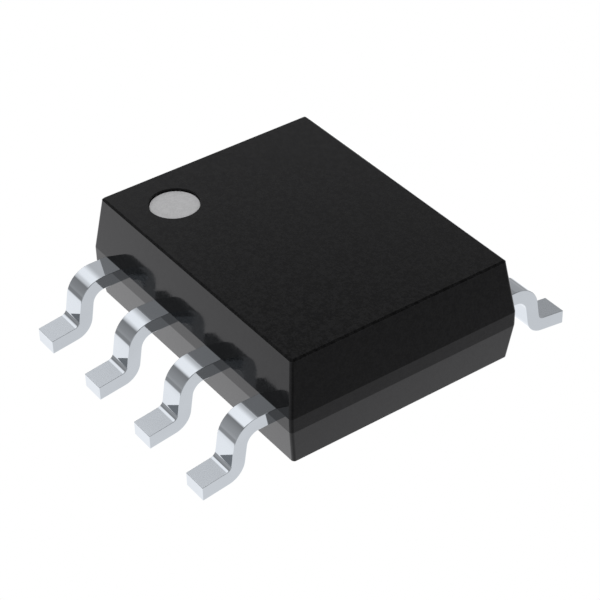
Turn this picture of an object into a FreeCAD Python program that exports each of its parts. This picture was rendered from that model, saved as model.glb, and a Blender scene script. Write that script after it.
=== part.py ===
import FreeCAD, Part
import math
import os
import Sketcher

os.makedirs("parts", exist_ok=True)

# A surface-mounted chip in a small-outline package with eight gull-wing leads.
# The origin is on the board, under the middle of the package, with +Z up.
# Pins 1 to 4 run along the -Y side from -X to +X, and pins 5 to 8 come back along the +Y side.
# Every length is in millimetres and every angle in degrees.

LEADS_PER_SIDE = 4
WIRE_FACETS = 8
BALL_FACETS = 12

SIZES = [
    ("body_length", "4.84", "moulding along X, over the upright band"),
    ("body_width", "3.80", "moulding along Y, over the upright band"),
    ("overall_height", "1.81", "board to the top of the moulding"),
    ("standoff", "0.14", "board to the underside of the moulding"),
    ("parting_height", "0.8475", "board to the middle of the leads' thickness"),
    ("band_height", "0.225", "upright band around the parting plane"),
    ("upper_draft", "8", "lean of the walls above the band"),
    ("lower_draft", "7", "lean of the walls below the band"),
    ("corner_round", "0.05", "radius of the four upright corners"),
    ("edge_round", "0.03", "radius of the top and bottom edges"),
    ("recess_diameter", "0.74", "pin-1 recess"),
    ("recess_depth", "0.045", "pin-1 recess"),
    ("recess_inset", "0.75", "recess centre to both nearest top edges"),
    ("mark_thickness", "0.01", "printed disc on the floor of the recess"),
    ("mark_clearance", "0.004", "disc edge to the wall of the recess"),
    ("lead_pitch", "1.27", "lead to lead along X"),
    ("lead_width", "0.385", "strip width outside the moulding"),
    ("lead_thickness", "0.215", "lead frame strip with its plating"),
    ("lead_span", "6.18", "toe to toe across the package"),
    ("shoulder_length", "0.27", "band to the start of the upper bend"),
    ("upper_bend_radius", "0.205", "inner radius of the upper bend"),
    ("lower_bend_radius", "0.10", "inner radius of the lower bend"),
    ("leg_lean", "9.5", "lean of the leg from upright"),
    ("foot_angle", "8", "fall of the foot towards its toe"),
    ("neck_length", "0.25", "plain strip just inside the moulding"),
    ("flare_length", "0.15", "strip widening into the finger"),
    ("finger_width", "0.50", "wide inner end of a finger"),
    ("finger_gap", "0.22", "finger to paddle"),
    ("outer_finger_reach", "0.75", "middle of the package to an outer finger's tip"),
    ("lock_hole_diameter", "0.16", "hole that keys each finger into the moulding"),
    ("paddle_length", "2.30", "plate that carries the die, along X"),
    ("paddle_width", "1.70", "plate that carries the die, along Y"),
    ("paddle_downset", "0.15", "paddle below the leads"),
    ("tie_bar_width", "0.25", "bar from the paddle to each end"),
    ("tie_bar_slope", "0.20", "length of the bar's bent stretch"),
    ("tie_bar_cover", "0.12", "moulding over each bar's cut end"),
    ("attach_thickness", "0.025", "glue under the die"),
    ("attach_margin", "0.05", "glue past each edge of the die"),
    ("die_length", "1.50", "die along X"),
    ("die_width", "1.10", "die along Y"),
    ("die_thickness", "0.25", "die"),
    ("pad_inset", "0.10", "bond pad centre to the die's long edge"),
    ("inner_pad_spread", "0.30", "inner bond pads from the die's middle"),
    ("outer_pad_spread", "0.62", "outer bond pads from the die's middle"),
    ("wire_diameter", "0.04", "bond wire"),
    ("wire_rise", "0.14", "upright start of the wire above its ball"),
    ("wire_shoulder", "0.06", "rise and run of the wire's slanted shoulder"),
    ("wire_level", "0.12", "level stretch at the top of the loop"),
    ("ball_diameter", "0.09", "flattened ball on the die"),
    ("ball_height", "0.02", "flattened ball on the die"),
    ("stitch_length", "0.12", "flattened end of the wire on the finger"),
    ("stitch_width", "0.07", "flattened end of the wire on the finger"),
    ("stitch_thickness", "0.035", "flattened end of the wire on the finger"),
    ("stitch_inset", "0.12", "middle of the stitch to the finger's tip"),
]

PLACES = [
    ("band_bottom", "=sizes.parting_height - sizes.band_height / 2"),
    ("band_top", "=sizes.parting_height + sizes.band_height / 2"),
    ("top_shrink", "=2 * (sizes.overall_height - places.band_top) * tan(sizes.upper_draft)"),
    ("bottom_shrink", "=2 * (places.band_bottom - sizes.standoff) * tan(sizes.lower_draft)"),
    ("top_length", "=sizes.body_length - places.top_shrink"),
    ("top_width", "=sizes.body_width - places.top_shrink"),
    ("bottom_length", "=sizes.body_length - places.bottom_shrink"),
    ("bottom_width", "=sizes.body_width - places.bottom_shrink"),
    ("recess_x", "=sizes.recess_inset - places.top_length / 2"),
    ("recess_y", "=sizes.recess_inset - places.top_width / 2"),
    ("recess_floor", "=sizes.overall_height - sizes.recess_depth"),
    ("frame_bottom", "=sizes.parting_height - sizes.lead_thickness / 2"),
    ("frame_top", "=sizes.parting_height + sizes.lead_thickness / 2"),
    ("neck_end", "=sizes.body_width / 2 - sizes.neck_length"),
    ("flare_end", "=places.neck_end - sizes.flare_length"),
    ("bend_start", "=sizes.body_width / 2 + sizes.shoulder_length"),
    ("inner_lead_x", "=sizes.lead_pitch / 2"),
    ("outer_lead_x", "=sizes.lead_pitch * 3 / 2"),
    ("inner_tip_y", "=sizes.paddle_width / 2 + sizes.finger_gap"),
    ("outer_tip_x", "=sizes.paddle_length / 2 + sizes.finger_gap + sizes.finger_width / 2"),
    ("paddle_top", "=places.frame_top - sizes.paddle_downset"),
    ("paddle_bottom", "=places.paddle_top - sizes.lead_thickness"),
    ("tie_bar_end", "=sizes.body_length / 2 - sizes.tie_bar_cover"),
    ("attach_top", "=places.paddle_top + sizes.attach_thickness"),
    ("die_top", "=places.attach_top + sizes.die_thickness"),
    ("pad_y", "=sizes.die_width / 2 - sizes.pad_inset"),
    ("inner_run_x", "=places.inner_lead_x - sizes.inner_pad_spread"),
    ("inner_run_y", "=places.inner_tip_y + sizes.stitch_inset - places.pad_y"),
    ("outer_run_x", "=places.outer_tip_x - sizes.outer_pad_spread"),
    ("outer_run_y", "=sizes.outer_finger_reach + sizes.stitch_inset - places.pad_y"),
    ("stitch_drop", "=places.die_top - places.frame_top"),
]

doc = FreeCAD.newDocument("small_outline_chip")


def fill_sheet(name, rows):
    """Write one aliased cell a row: its text in column B, and what it means beside it."""
    sheet = doc.addObject("Spreadsheet::Sheet", name)
    for number, row in enumerate(rows, start=1):
        alias, text = row[0], row[1]
        sheet.set(f"A{number}", alias)
        sheet.setAlias(f"B{number}", alias)
        sheet.set(f"B{number}", text)
        if len(row) > 2:
            sheet.set(f"C{number}", row[2])
    doc.recompute()
    return sheet


sizes = fill_sheet("sizes", SIZES)
places = fill_sheet("places", PLACES)


def new_body(label):
    """An empty body whose Label is the piece's name."""
    body = doc.addObject("PartDesign::Body", label)
    body.Label = label
    return body


def new_sketch(body, name, role, height=None):
    """A sketch on one of the body's own origin planes, lifted along its normal by an expression."""
    sketch = body.newObject("Sketcher::SketchObject", name)
    plane = next(item for item in body.Origin.OriginFeatures if item.Role == role)
    sketch.AttachmentSupport = [(plane, "")]
    sketch.MapMode = "FlatFace"
    if height:
        sketch.setExpression("AttachmentOffset.Base.z", height)
    return sketch


def limit(sketch, expression, *constraint):
    """Add a constraint and bind its value to an expression."""
    index = sketch.addConstraint(Sketcher.Constraint(*constraint))
    name = f"size_{index}"
    sketch.renameConstraint(index, name)
    sketch.setExpression(f"Constraints.{name}", expression)


def line(sketch, start, end):
    """Add one straight edge between two points of the sketch plane."""
    edge = Part.LineSegment(FreeCAD.Vector(*start, 0), FreeCAD.Vector(*end, 0))
    return sketch.addGeometry(edge, False)


def arc(sketch, centre, radius, start_degrees, end_degrees):
    """Add one arc that turns anticlockwise between two angles."""
    circle = Part.Circle(FreeCAD.Vector(*centre, 0), FreeCAD.Vector(0, 0, 1), radius)
    start, end = math.radians(start_degrees), math.radians(end_degrees)
    return sketch.addGeometry(Part.ArcOfCircle(circle, start, end), False)


def draw_circle(sketch, diameter, x, y):
    """A circle bound to expressions for its diameter and its centre."""
    circle = Part.Circle(FreeCAD.Vector(0, 0, 0), FreeCAD.Vector(0, 0, 1), 0.1)
    index = sketch.addGeometry(circle, False)
    limit(sketch, diameter, "Diameter", index, 0.2)
    limit(sketch, x, "DistanceX", -1, 1, index, 3, 0.01)
    limit(sketch, y, "DistanceY", -1, 1, index, 3, 0.01)


def draw_polygon(sketch, corners):
    """A closed outline whose every corner is a pair of expressions."""
    count = len(corners)
    start = [(math.cos(2 * math.pi * k / count), math.sin(2 * math.pi * k / count)) for k in range(count)]
    edges = [line(sketch, start[k], start[(k + 1) % count]) for k in range(count)]
    for k in range(count):
        sketch.addConstraint(Sketcher.Constraint("Coincident", edges[k], 2, edges[(k + 1) % count], 1))
    for k, (x, y) in enumerate(corners):
        limit(sketch, x, "DistanceX", -1, 1, edges[k], 1, start[k][0])
        limit(sketch, y, "DistanceY", -1, 1, edges[k], 1, start[k][1])


def round_corners(diameter, count):
    """The corners of a regular outline that stands in for a very small circle."""
    turns = [360 * (k + 0.5) / count for k in range(count)]
    return [(f"{diameter} / 2 * cos({turn})", f"{diameter} / 2 * sin({turn})") for turn in turns]


def draw_rounded_rectangle(sketch, length, width, radius):
    """A rectangle centred on the sketch's origin, with its four corners rounded alike."""
    x, y, r = 2.0, 1.5, 0.2
    bottom = line(sketch, (r - x, -y), (x - r, -y))
    lower_right = arc(sketch, (x - r, r - y), r, 270, 360)
    right = line(sketch, (x, r - y), (x, y - r))
    upper_right = arc(sketch, (x - r, y - r), r, 0, 90)
    top = line(sketch, (x - r, y), (r - x, y))
    upper_left = arc(sketch, (r - x, y - r), r, 90, 180)
    left = line(sketch, (-x, y - r), (-x, r - y))
    lower_left = arc(sketch, (r - x, r - y), r, 180, 270)
    ring = [bottom, lower_right, right, upper_right, top, upper_left, left, lower_left]
    for k, edge in enumerate(ring):
        sketch.addConstraint(Sketcher.Constraint("Tangent", edge, 2, ring[(k + 1) % 8], 1))
    sketch.addConstraint(Sketcher.Constraint("Horizontal", bottom))
    sketch.addConstraint(Sketcher.Constraint("Horizontal", top))
    sketch.addConstraint(Sketcher.Constraint("Vertical", right))
    sketch.addConstraint(Sketcher.Constraint("Vertical", left))
    for corner in (lower_right, upper_right, upper_left):
        sketch.addConstraint(Sketcher.Constraint("Equal", corner, lower_left))
    limit(sketch, radius, "Radius", lower_left, r)
    limit(sketch, f"{length} / 2", "DistanceX", -1, 1, right, 1, x)
    limit(sketch, f"-{length} / 2", "DistanceX", -1, 1, left, 1, -x)
    limit(sketch, f"{width} / 2", "DistanceY", -1, 1, top, 1, y)
    limit(sketch, f"-{width} / 2", "DistanceY", -1, 1, bottom, 1, -y)


def pad(body, name, sketch, length, symmetric=False):
    """Pad a sketch by an expression, to one side or to both alike."""
    feature = body.newObject("PartDesign::Pad", name)
    feature.Profile = sketch
    feature.SideType = "Symmetric" if symmetric else "One side"
    feature.setExpression("Length", length)
    return feature


def pocket(body, name, sketch, length):
    """Cut a sketch back into the solid, and check that it took something away."""
    doc.recompute()
    before = body.Shape.Volume
    feature = body.newObject("PartDesign::Pocket", name)
    feature.Profile = sketch
    feature.setExpression("Length", length)
    doc.recompute()
    if not body.Shape.Volume < before:
        raise RuntimeError(f"{name} cuts nothing")
    return feature


def flat_edges(feature, height):
    """The names of a feature's edges that lie at one height."""
    names = []
    for number, edge in enumerate(feature.Shape.Edges, start=1):
        if abs(edge.BoundBox.ZMin - height) < 1e-6 and abs(edge.BoundBox.ZMax - height) < 1e-6:
            names.append(f"Edge{number}")
    return names


def make_moulding():
    """The outside of the moulding: two drafted halves on an upright band, and the recess."""
    body = new_body("moulding")
    outlines = [
        ("bottom_outline", "places.bottom_length", "places.bottom_width", "sizes.standoff"),
        ("band_bottom_outline", "sizes.body_length", "sizes.body_width", "places.band_bottom"),
        ("band_top_outline", "sizes.body_length", "sizes.body_width", "places.band_top"),
        ("top_outline", "places.top_length", "places.top_width", "sizes.overall_height"),
    ]
    sketches = []
    for name, length, width, height in outlines:
        sketch = new_sketch(body, name, "XY_Plane", height)
        draw_rounded_rectangle(sketch, length, width, "sizes.corner_round")
        sketches.append(sketch)
    lower = body.newObject("PartDesign::AdditiveLoft", "lower_half")
    lower.Profile = sketches[0]
    lower.Sections = [sketches[1]]
    lower.Ruled = True
    pad(body, "band", sketches[1], "sizes.band_height")
    upper = body.newObject("PartDesign::AdditiveLoft", "upper_half")
    upper.Profile = sketches[2]
    upper.Sections = [sketches[3]]
    upper.Ruled = True
    doc.recompute()
    rims = flat_edges(upper, sizes.overall_height) + flat_edges(upper, sizes.standoff)
    rounded = body.newObject("PartDesign::Fillet", "rim_round")
    rounded.Base = (upper, rims)
    rounded.setExpression("Radius", "sizes.edge_round")
    recess = new_sketch(body, "recess_outline", "XY_Plane", "sizes.overall_height")
    draw_circle(recess, "sizes.recess_diameter", "places.recess_x", "places.recess_y")
    pocket(body, "recess", recess, "sizes.recess_depth")
    return body


def draw_gull_wing(sketch):
    """The side outline of a lead, outwards along the sketch's x axis.

    The upper bend's centre is under the shoulder. The lower bend's centre is where a line
    parallel to the leg and a line parallel to the foot cross, each one bend radius away.
    """
    thick, lean, fall = sizes.lead_thickness, math.radians(sizes.leg_lean), math.radians(sizes.foot_angle)
    inner_top, inner_low = sizes.upper_bend_radius, sizes.lower_bend_radius
    outer_top, outer_low = inner_top + thick, inner_low + thick
    toe = sizes.lead_span / 2
    upper = FreeCAD.Vector(places.bend_start, places.frame_bottom - inner_top, 0)
    leg_normal = FreeCAD.Vector(math.cos(lean), math.sin(lean), 0)
    foot_normal = FreeCAD.Vector(math.sin(fall), math.cos(fall), 0)
    leg_offset = upper.dot(leg_normal) + outer_top + inner_low
    foot_offset = toe * math.sin(fall) + outer_low
    cross = math.cos(lean) * math.cos(fall) - math.sin(lean) * math.sin(fall)
    lower = FreeCAD.Vector(
        (leg_offset * foot_normal.y - foot_offset * leg_normal.y) / cross,
        (foot_offset * leg_normal.x - leg_offset * foot_normal.x) / cross,
        0,
    )
    leg_top = upper + leg_normal * outer_top
    leg_under = upper + leg_normal * inner_top
    heel_top = lower - leg_normal * inner_low
    heel_under = lower - leg_normal * outer_low
    foot_top = lower - foot_normal * inner_low
    foot_under = lower - foot_normal * outer_low
    toe_top = thick / math.cos(fall)

    shoulder = line(sketch, (places.neck_end, places.frame_top), (places.bend_start, places.frame_top))
    bend_over = arc(sketch, (upper.x, upper.y), outer_top, sizes.leg_lean, 90)
    leg = line(sketch, (leg_top.x, leg_top.y), (heel_top.x, heel_top.y))
    bend_in = arc(sketch, (lower.x, lower.y), inner_low, 180 + sizes.leg_lean, 270 - sizes.foot_angle)
    foot = line(sketch, (foot_top.x, foot_top.y), (toe, toe_top))
    end = line(sketch, (toe, toe_top), (toe, 0))
    sole = line(sketch, (toe, 0), (foot_under.x, foot_under.y))
    heel = arc(sketch, (lower.x, lower.y), outer_low, 180 + sizes.leg_lean, 270 - sizes.foot_angle)
    calf = line(sketch, (heel_under.x, heel_under.y), (leg_under.x, leg_under.y))
    bend_under = arc(sketch, (upper.x, upper.y), inner_top, sizes.leg_lean, 90)
    underside = line(sketch, (places.bend_start, places.frame_bottom), (places.neck_end, places.frame_bottom))
    root = line(sketch, (places.neck_end, places.frame_bottom), (places.neck_end, places.frame_top))

    smooth = [(shoulder, 2, bend_over, 2), (bend_over, 1, leg, 1), (leg, 2, bend_in, 1), (bend_in, 2, foot, 1),
              (sole, 2, heel, 2), (heel, 1, calf, 1), (calf, 2, bend_under, 1), (bend_under, 2, underside, 1)]
    for joint in smooth:
        sketch.addConstraint(Sketcher.Constraint("Tangent", *joint))
    for joint in [(foot, 2, end, 1), (end, 2, sole, 1), (underside, 2, root, 1), (root, 2, shoulder, 1),
                  (bend_over, 3, bend_under, 3), (bend_in, 3, heel, 3)]:
        sketch.addConstraint(Sketcher.Constraint("Coincident", *joint))
    sketch.addConstraint(Sketcher.Constraint("Horizontal", shoulder))
    sketch.addConstraint(Sketcher.Constraint("Horizontal", underside))
    sketch.addConstraint(Sketcher.Constraint("Vertical", root))
    sketch.addConstraint(Sketcher.Constraint("Vertical", end))
    sketch.addConstraint(Sketcher.Constraint("Parallel", leg, calf))
    sketch.addConstraint(Sketcher.Constraint("Parallel", foot, sole))
    sketch.addConstraint(Sketcher.Constraint("PointOnObject", sole, 1, -1))
    limit(sketch, "sizes.upper_bend_radius", "Radius", bend_under, inner_top)
    limit(sketch, "sizes.lower_bend_radius", "Radius", bend_in, inner_low)
    limit(sketch, "sizes.lead_thickness", "DistanceY", root, 1, root, 2, thick)
    limit(sketch, "(sizes.leg_lean - 90) * 1 deg", "Angle", leg, lean - math.pi / 2)
    limit(sketch, "-sizes.foot_angle * 1 deg", "Angle", foot, -fall)
    limit(sketch, "places.neck_end", "DistanceX", -1, 1, root, 1, places.neck_end)
    limit(sketch, "places.frame_bottom", "DistanceY", -1, 1, root, 1, places.frame_bottom)
    limit(sketch, "places.bend_start", "DistanceX", -1, 1, shoulder, 2, places.bend_start)
    limit(sketch, "sizes.lead_span / 2", "DistanceX", -1, 1, sole, 1, toe)


def make_lead(number):
    """One lead: a bent strip outside, and inside a finger that widens and points at the paddle.

    It is drawn on the +Y side about its own middle. Leads 1 to 4 are half a turn round.
    """
    column = (number - 1) % LEADS_PER_SIDE
    outer = column in (0, LEADS_PER_SIDE - 1)
    side = 1 if column < LEADS_PER_SIDE / 2 else -1
    lead_x = "places.outer_lead_x" if outer else "places.inner_lead_x"
    middle = f"({side}) * (places.outer_tip_x - places.outer_lead_x)" if outer else "0"
    tip = "sizes.outer_finger_reach" if outer else "places.inner_tip_y"

    body = new_body(f"lead_{number}")
    profile = new_sketch(body, "gull_wing", "YZ_Plane")
    draw_gull_wing(profile)
    pad(body, "strip", profile, "sizes.lead_width", symmetric=True)

    plan = new_sketch(body, "finger_outline", "XY_Plane", "places.frame_bottom")
    half_strip = "sizes.lead_width / 2"
    half_finger = "sizes.finger_width / 2"
    draw_polygon(plan, [
        (f"-{half_strip}", "places.neck_end"),
        (f"{middle} - {half_finger}", "places.flare_end"),
        (f"{middle} - {half_finger}", tip),
        (f"{middle} + {half_finger}", tip),
        (f"{middle} + {half_finger}", "places.flare_end"),
        (half_strip, "places.neck_end"),
    ])
    pad(body, "finger", plan, "sizes.lead_thickness")

    hole = new_sketch(body, "lock_hole_outline", "XY_Plane", "places.frame_top")
    draw_circle(hole, "sizes.lock_hole_diameter", f"{middle} * 0.8", "places.flare_end")
    pocket(body, "lock_hole", hole, "sizes.lead_thickness")

    turned = number <= LEADS_PER_SIDE
    reach = -side if turned else side
    body.setExpression("Placement.Base.x", f"({reach}) * {lead_x}")
    body.Placement.Rotation = FreeCAD.Rotation(FreeCAD.Vector(0, 0, 1), 180 if turned else 0)
    return body


def make_paddle():
    """The die paddle with its two tie bars, which step up to the height of the leads."""
    body = new_body("die_paddle")
    plate = new_sketch(body, "plate_outline", "XY_Plane", "places.paddle_bottom")
    half_length, half_width = "sizes.paddle_length / 2", "sizes.paddle_width / 2"
    draw_polygon(plate, [
        (f"-{half_length}", f"-{half_width}"),
        (half_length, f"-{half_width}"),
        (half_length, half_width),
        (f"-{half_length}", half_width),
    ])
    pad(body, "plate", plate, "sizes.lead_thickness")
    bar = new_sketch(body, "tie_bar_outline", "XZ_Plane")
    slope_end = f"{half_length} + sizes.tie_bar_slope"
    draw_polygon(bar, [
        (half_length, "places.paddle_bottom"),
        (slope_end, "places.frame_bottom"),
        ("places.tie_bar_end", "places.frame_bottom"),
        ("places.tie_bar_end", "places.frame_top"),
        (slope_end, "places.frame_top"),
        (half_length, "places.paddle_top"),
    ])
    first_bar = pad(body, "tie_bar", bar, "sizes.tie_bar_width", symmetric=True)
    mirror = body.newObject("PartDesign::Mirrored", "other_tie_bar")
    mirror.Originals = [first_bar]
    plane = next(item for item in body.Origin.OriginFeatures if item.Role == "YZ_Plane")
    mirror.MirrorPlane = (plane, [""])
    body.Tip = mirror
    return body


def make_slab(label, length, width, height, base):
    """A plain block centred on the part's axis, with its underside at a given height."""
    block = doc.addObject("Part::Box", label)
    block.Label = label
    block.setExpression("Length", length)
    block.setExpression("Width", width)
    block.setExpression("Height", height)
    block.setExpression("Placement.Base.x", f"-({length}) / 2")
    block.setExpression("Placement.Base.y", f"-({width}) / 2")
    block.setExpression("Placement.Base.z", base)
    return block


def draw_wire_path(sketch, run):
    """The wire's centre line: up from the ball, over a shoulder, level, and down to the stitch."""
    shoulder_x = "sizes.wire_shoulder"
    level_x = "sizes.wire_shoulder + sizes.wire_level"
    rise = "sizes.ball_height + sizes.wire_rise"
    top = "sizes.ball_height + sizes.wire_rise + sizes.wire_shoulder"
    landing = "sizes.wire_diameter / 2 - places.stitch_drop"
    points = [("0", "sizes.ball_height"), ("0", rise), (shoulder_x, top), (level_x, top), (run, landing)]
    start = [(0.3 * k, 0.1 * k * (4 - k)) for k in range(len(points))]
    spans = [line(sketch, start[k], start[k + 1]) for k in range(len(points) - 1)]
    for before, after in zip(spans, spans[1:]):
        sketch.addConstraint(Sketcher.Constraint("Coincident", before, 2, after, 1))
    for k, (x, y) in enumerate(points):
        place = (spans[k], 1) if k < len(spans) else (spans[-1], 2)
        if k > 1:
            limit(sketch, x, "DistanceX", -1, 1, *place, start[k][0])
        else:
            sketch.addConstraint(Sketcher.Constraint("PointOnObject", *place, -2))
        limit(sketch, y, "DistanceY", -1, 1, *place, start[k][1])
    return [f"Edge{k + 1}" for k in range(len(spans))]


def make_wire(number):
    """One bond wire, drawn from its ball at the origin along +X and then turned to its finger."""
    column = (number - 1) % LEADS_PER_SIDE
    outer = column in (0, LEADS_PER_SIDE - 1)
    side = 1 if column < LEADS_PER_SIDE / 2 else -1
    kind = "outer" if outer else "inner"
    run_x, run_y = f"places.{kind}_run_x", f"places.{kind}_run_y"
    run = f"sqrt({run_x} ^ 2 + {run_y} ^ 2)"

    body = new_body(f"bond_wire_{number}")
    foot = new_sketch(body, "ball_outline", "XY_Plane")
    draw_polygon(foot, round_corners("sizes.ball_diameter", BALL_FACETS))
    pad(body, "ball", foot, "sizes.ball_height")

    path = new_sketch(body, "loop_path", "XZ_Plane")
    spans = draw_wire_path(path, run)
    section = new_sketch(body, "wire_section", "XY_Plane", "sizes.ball_height")
    draw_polygon(section, round_corners("sizes.wire_diameter", WIRE_FACETS))
    loop = body.newObject("PartDesign::AdditivePipe", "loop")
    loop.Profile = section
    loop.Spine = (path, spans)
    loop.Transition = "Right corner"

    stitch = new_sketch(body, "stitch_outline", "XY_Plane", "-places.stitch_drop")
    half_length, half_width = "sizes.stitch_length / 2", "sizes.stitch_width / 2"
    draw_polygon(stitch, [
        (f"{run} - {half_length}", f"-{half_width}"),
        (f"{run} + {half_length}", f"-{half_width}"),
        (f"{run} + {half_length}", half_width),
        (f"{run} - {half_length}", half_width),
    ])
    pad(body, "stitch", stitch, "sizes.stitch_thickness")

    flip = -1 if number <= LEADS_PER_SIDE else 1
    pad_spread = f"sizes.{kind}_pad_spread"
    body.setExpression("Placement.Base.x", f"({flip * side}) * {pad_spread}")
    body.setExpression("Placement.Base.y", f"({flip}) * places.pad_y")
    body.setExpression("Placement.Base.z", "places.die_top")
    heading = f"atan2(({flip}) * {run_y}; ({flip * side}) * {run_x})"
    body.Placement.Rotation = FreeCAD.Rotation(FreeCAD.Vector(0, 0, 1), 1)
    body.setExpression("Placement.Rotation.Angle", heading)
    return body


def make_mark():
    """The printed disc that lies on the floor of the recess."""
    disc = doc.addObject("Part::Cylinder", "pin_one_mark")
    disc.Label = "pin_one_mark"
    disc.setExpression("Radius", "sizes.recess_diameter / 2 - sizes.mark_clearance")
    disc.setExpression("Height", "sizes.mark_thickness")
    disc.setExpression("Placement.Base.x", "places.recess_x")
    disc.setExpression("Placement.Base.y", "places.recess_y")
    disc.setExpression("Placement.Base.z", "places.recess_floor")
    return disc


def make_mold_body(moulding, embedded):
    """The moulding with everything that it was moulded round taken out of it."""
    core = doc.addObject("Part::MultiFuse", "embedded_pieces")
    core.Shapes = embedded
    cast = doc.addObject("Part::Cut", "mold_body")
    cast.Label = "mold_body"
    cast.Base = moulding
    cast.Tool = core
    return cast


def check(pieces):
    """Stop if any object of the document failed, or any piece has no sound shape."""
    for item in doc.Objects:
        if "Invalid" in item.State or "Error" in item.State:
            raise RuntimeError(f"{item.Label} failed: {item.State}")
    for piece in pieces:
        if piece.Shape.isNull() or not piece.Shape.isValid():
            raise RuntimeError(f"{piece.Label} has no sound shape")


pins = range(1, 2 * LEADS_PER_SIDE + 1)
leads = [make_lead(number) for number in pins]
paddle = make_paddle()
attach = make_slab(
    "die_attach",
    "sizes.die_length + 2 * sizes.attach_margin",
    "sizes.die_width + 2 * sizes.attach_margin",
    "sizes.attach_thickness",
    "places.paddle_top",
)
die = make_slab("die", "sizes.die_length", "sizes.die_width", "sizes.die_thickness", "places.attach_top")
wires = [make_wire(number) for number in pins]
inside = leads + [paddle, attach, die] + wires
shell = make_mold_body(make_moulding(), inside)
mark = make_mark()
doc.recompute()

pieces = [shell, mark] + inside
check(pieces)
for piece in pieces:
    piece.Shape.exportStep(f"parts/{piece.Label}.step")
    print(f"{piece.Label:14s} {piece.Shape.Volume:.5f} mm3, {len(piece.Shape.Solids)} solid")
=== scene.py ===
# %% [markdown]
# # A small-outline chip with eight gull-wing leads
#
# The part is a black epoxy moulding about five millimetres long, cast round a stamped lead
# frame. This lesson dresses the imported solids for their picture: it builds the moulding, the
# leads and the pin-1 dot again as smooth surfaces, and gives every piece a finish.
#
# The imported model comes first, because it fixes where everything is.

# %% Load the fixed frame
import math

import bmesh
import bpy
import numpy as np
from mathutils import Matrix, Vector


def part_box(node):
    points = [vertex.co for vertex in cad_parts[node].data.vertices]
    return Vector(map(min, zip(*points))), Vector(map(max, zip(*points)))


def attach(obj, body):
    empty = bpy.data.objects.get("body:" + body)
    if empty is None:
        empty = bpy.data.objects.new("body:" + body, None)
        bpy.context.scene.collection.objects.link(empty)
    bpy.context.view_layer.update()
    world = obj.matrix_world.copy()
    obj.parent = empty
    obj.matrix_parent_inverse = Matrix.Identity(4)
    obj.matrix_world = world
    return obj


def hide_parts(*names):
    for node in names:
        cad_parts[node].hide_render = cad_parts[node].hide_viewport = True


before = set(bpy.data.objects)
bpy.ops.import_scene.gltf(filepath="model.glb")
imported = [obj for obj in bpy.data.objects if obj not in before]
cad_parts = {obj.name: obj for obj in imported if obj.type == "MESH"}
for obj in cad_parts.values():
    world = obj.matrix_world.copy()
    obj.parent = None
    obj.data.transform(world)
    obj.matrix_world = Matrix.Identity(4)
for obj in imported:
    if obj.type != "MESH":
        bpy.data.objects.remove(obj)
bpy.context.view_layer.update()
print("nodes:", ", ".join(sorted(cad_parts)))

# %% [markdown]
# Chip drawings are in millimetres and Blender works in metres, so every size below is written
# in millimetres and turned into metres only when a mesh is made. What the frame can tell is
# read from it: the moulding's length, width, height and standoff, the span over the toes, and
# the level of the strip. The rest are the sizes that the press tools and the mould would have.

# %% Sizes in millimetres
MM = 0.001


def node_box(name):
    """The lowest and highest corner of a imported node, in millimetres."""
    low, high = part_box(name)
    return np.array(low) / MM, np.array(high) / MM


body_low, body_high = node_box("mold_body")
lead_high = node_box("lead_6")[1]

LENGTH, WIDTH = body_high[0] - body_low[0], body_high[1] - body_low[1]
STANDOFF, TOP = body_low[2], body_high[2]
TOE, STRIP_TOP = lead_high[1], lead_high[2]

STRIP = 0.215
STRIP_WIDTH = 0.385
PITCH = 1.27
BAND = 0.225
UPPER_DRAFT, LOWER_DRAFT = 8.0, 7.0
CORNER_ROUND, RIM_ROUND, CREASE_ROUND = 0.05, 0.03, 0.012
PARTING = STRIP_TOP - STRIP / 2

print(f"moulding {LENGTH:.2f} x {WIDTH:.2f}, {STANDOFF:.2f} to {TOP:.2f}; parting plane {PARTING:.4f}")
print(f"toes at {TOE:.2f}, strip {STRIP_TOP - STRIP:.3f} to {STRIP_TOP:.3f}")

# %% [markdown]
# The camera looks down on one corner through a long lens, about 120 mm on a 36 mm sensor, so
# the chip's edges stay nearly parallel. Its place is given as a turn round the chip, a height
# above the horizon, a small roll and a distance, and its axes are worked out from those.

# %% Camera
VIEW_TURN, VIEW_HEIGHT, VIEW_ROLL = math.radians(54.986), math.radians(37.319), math.radians(-1.438)
VIEW_DISTANCE = 28.325
VIEW_TARGET = np.array([0.3613, -0.2662, 0.9085])
LENS, SENSOR = 122.746, 36.0
CLIP_NEAR, CLIP_FAR = 1.0, 10000.0


def view_axes(turn, height, roll):
    """Right, up and back of the camera: turned about Z, tipped by the height, then rolled."""
    level = np.array([math.cos(turn), math.sin(turn), 0])
    outwards = np.array([math.sin(turn), -math.cos(turn), 0])
    back = outwards * math.cos(height) + np.array([0, 0, math.sin(height)])
    upright = np.cross(back, level)
    right = level * math.cos(roll) + upright * math.sin(roll)
    return right, np.cross(back, right), back


right, up, back = view_axes(VIEW_TURN, VIEW_HEIGHT, VIEW_ROLL)
camera_data = bpy.data.cameras.new("camera")
camera_data.lens = LENS
camera_data.sensor_width = SENSOR
camera_data.clip_start = CLIP_NEAR * MM
camera_data.clip_end = CLIP_FAR * MM
camera = bpy.data.objects.new("camera", camera_data)
bpy.context.collection.objects.link(camera)
matrix = np.eye(4)
matrix[:3, :3] = np.column_stack([right, up, back])
matrix[:3, 3] = (VIEW_TARGET + back * VIEW_DISTANCE) * MM
camera.matrix_world = matrix.T.tolist()
bpy.context.scene.camera = camera
print("camera in mm:", np.round(matrix[:3, 3] / MM, 3))

# %% [markdown]
# A light or a finish is a small network of nodes. Wired one by one, nodes are hard to read, so
# five helpers let a network read like arithmetic: a node with its settings, a link or a plain
# value, one sum, one smooth step, and the three parts of a vector.

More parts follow.
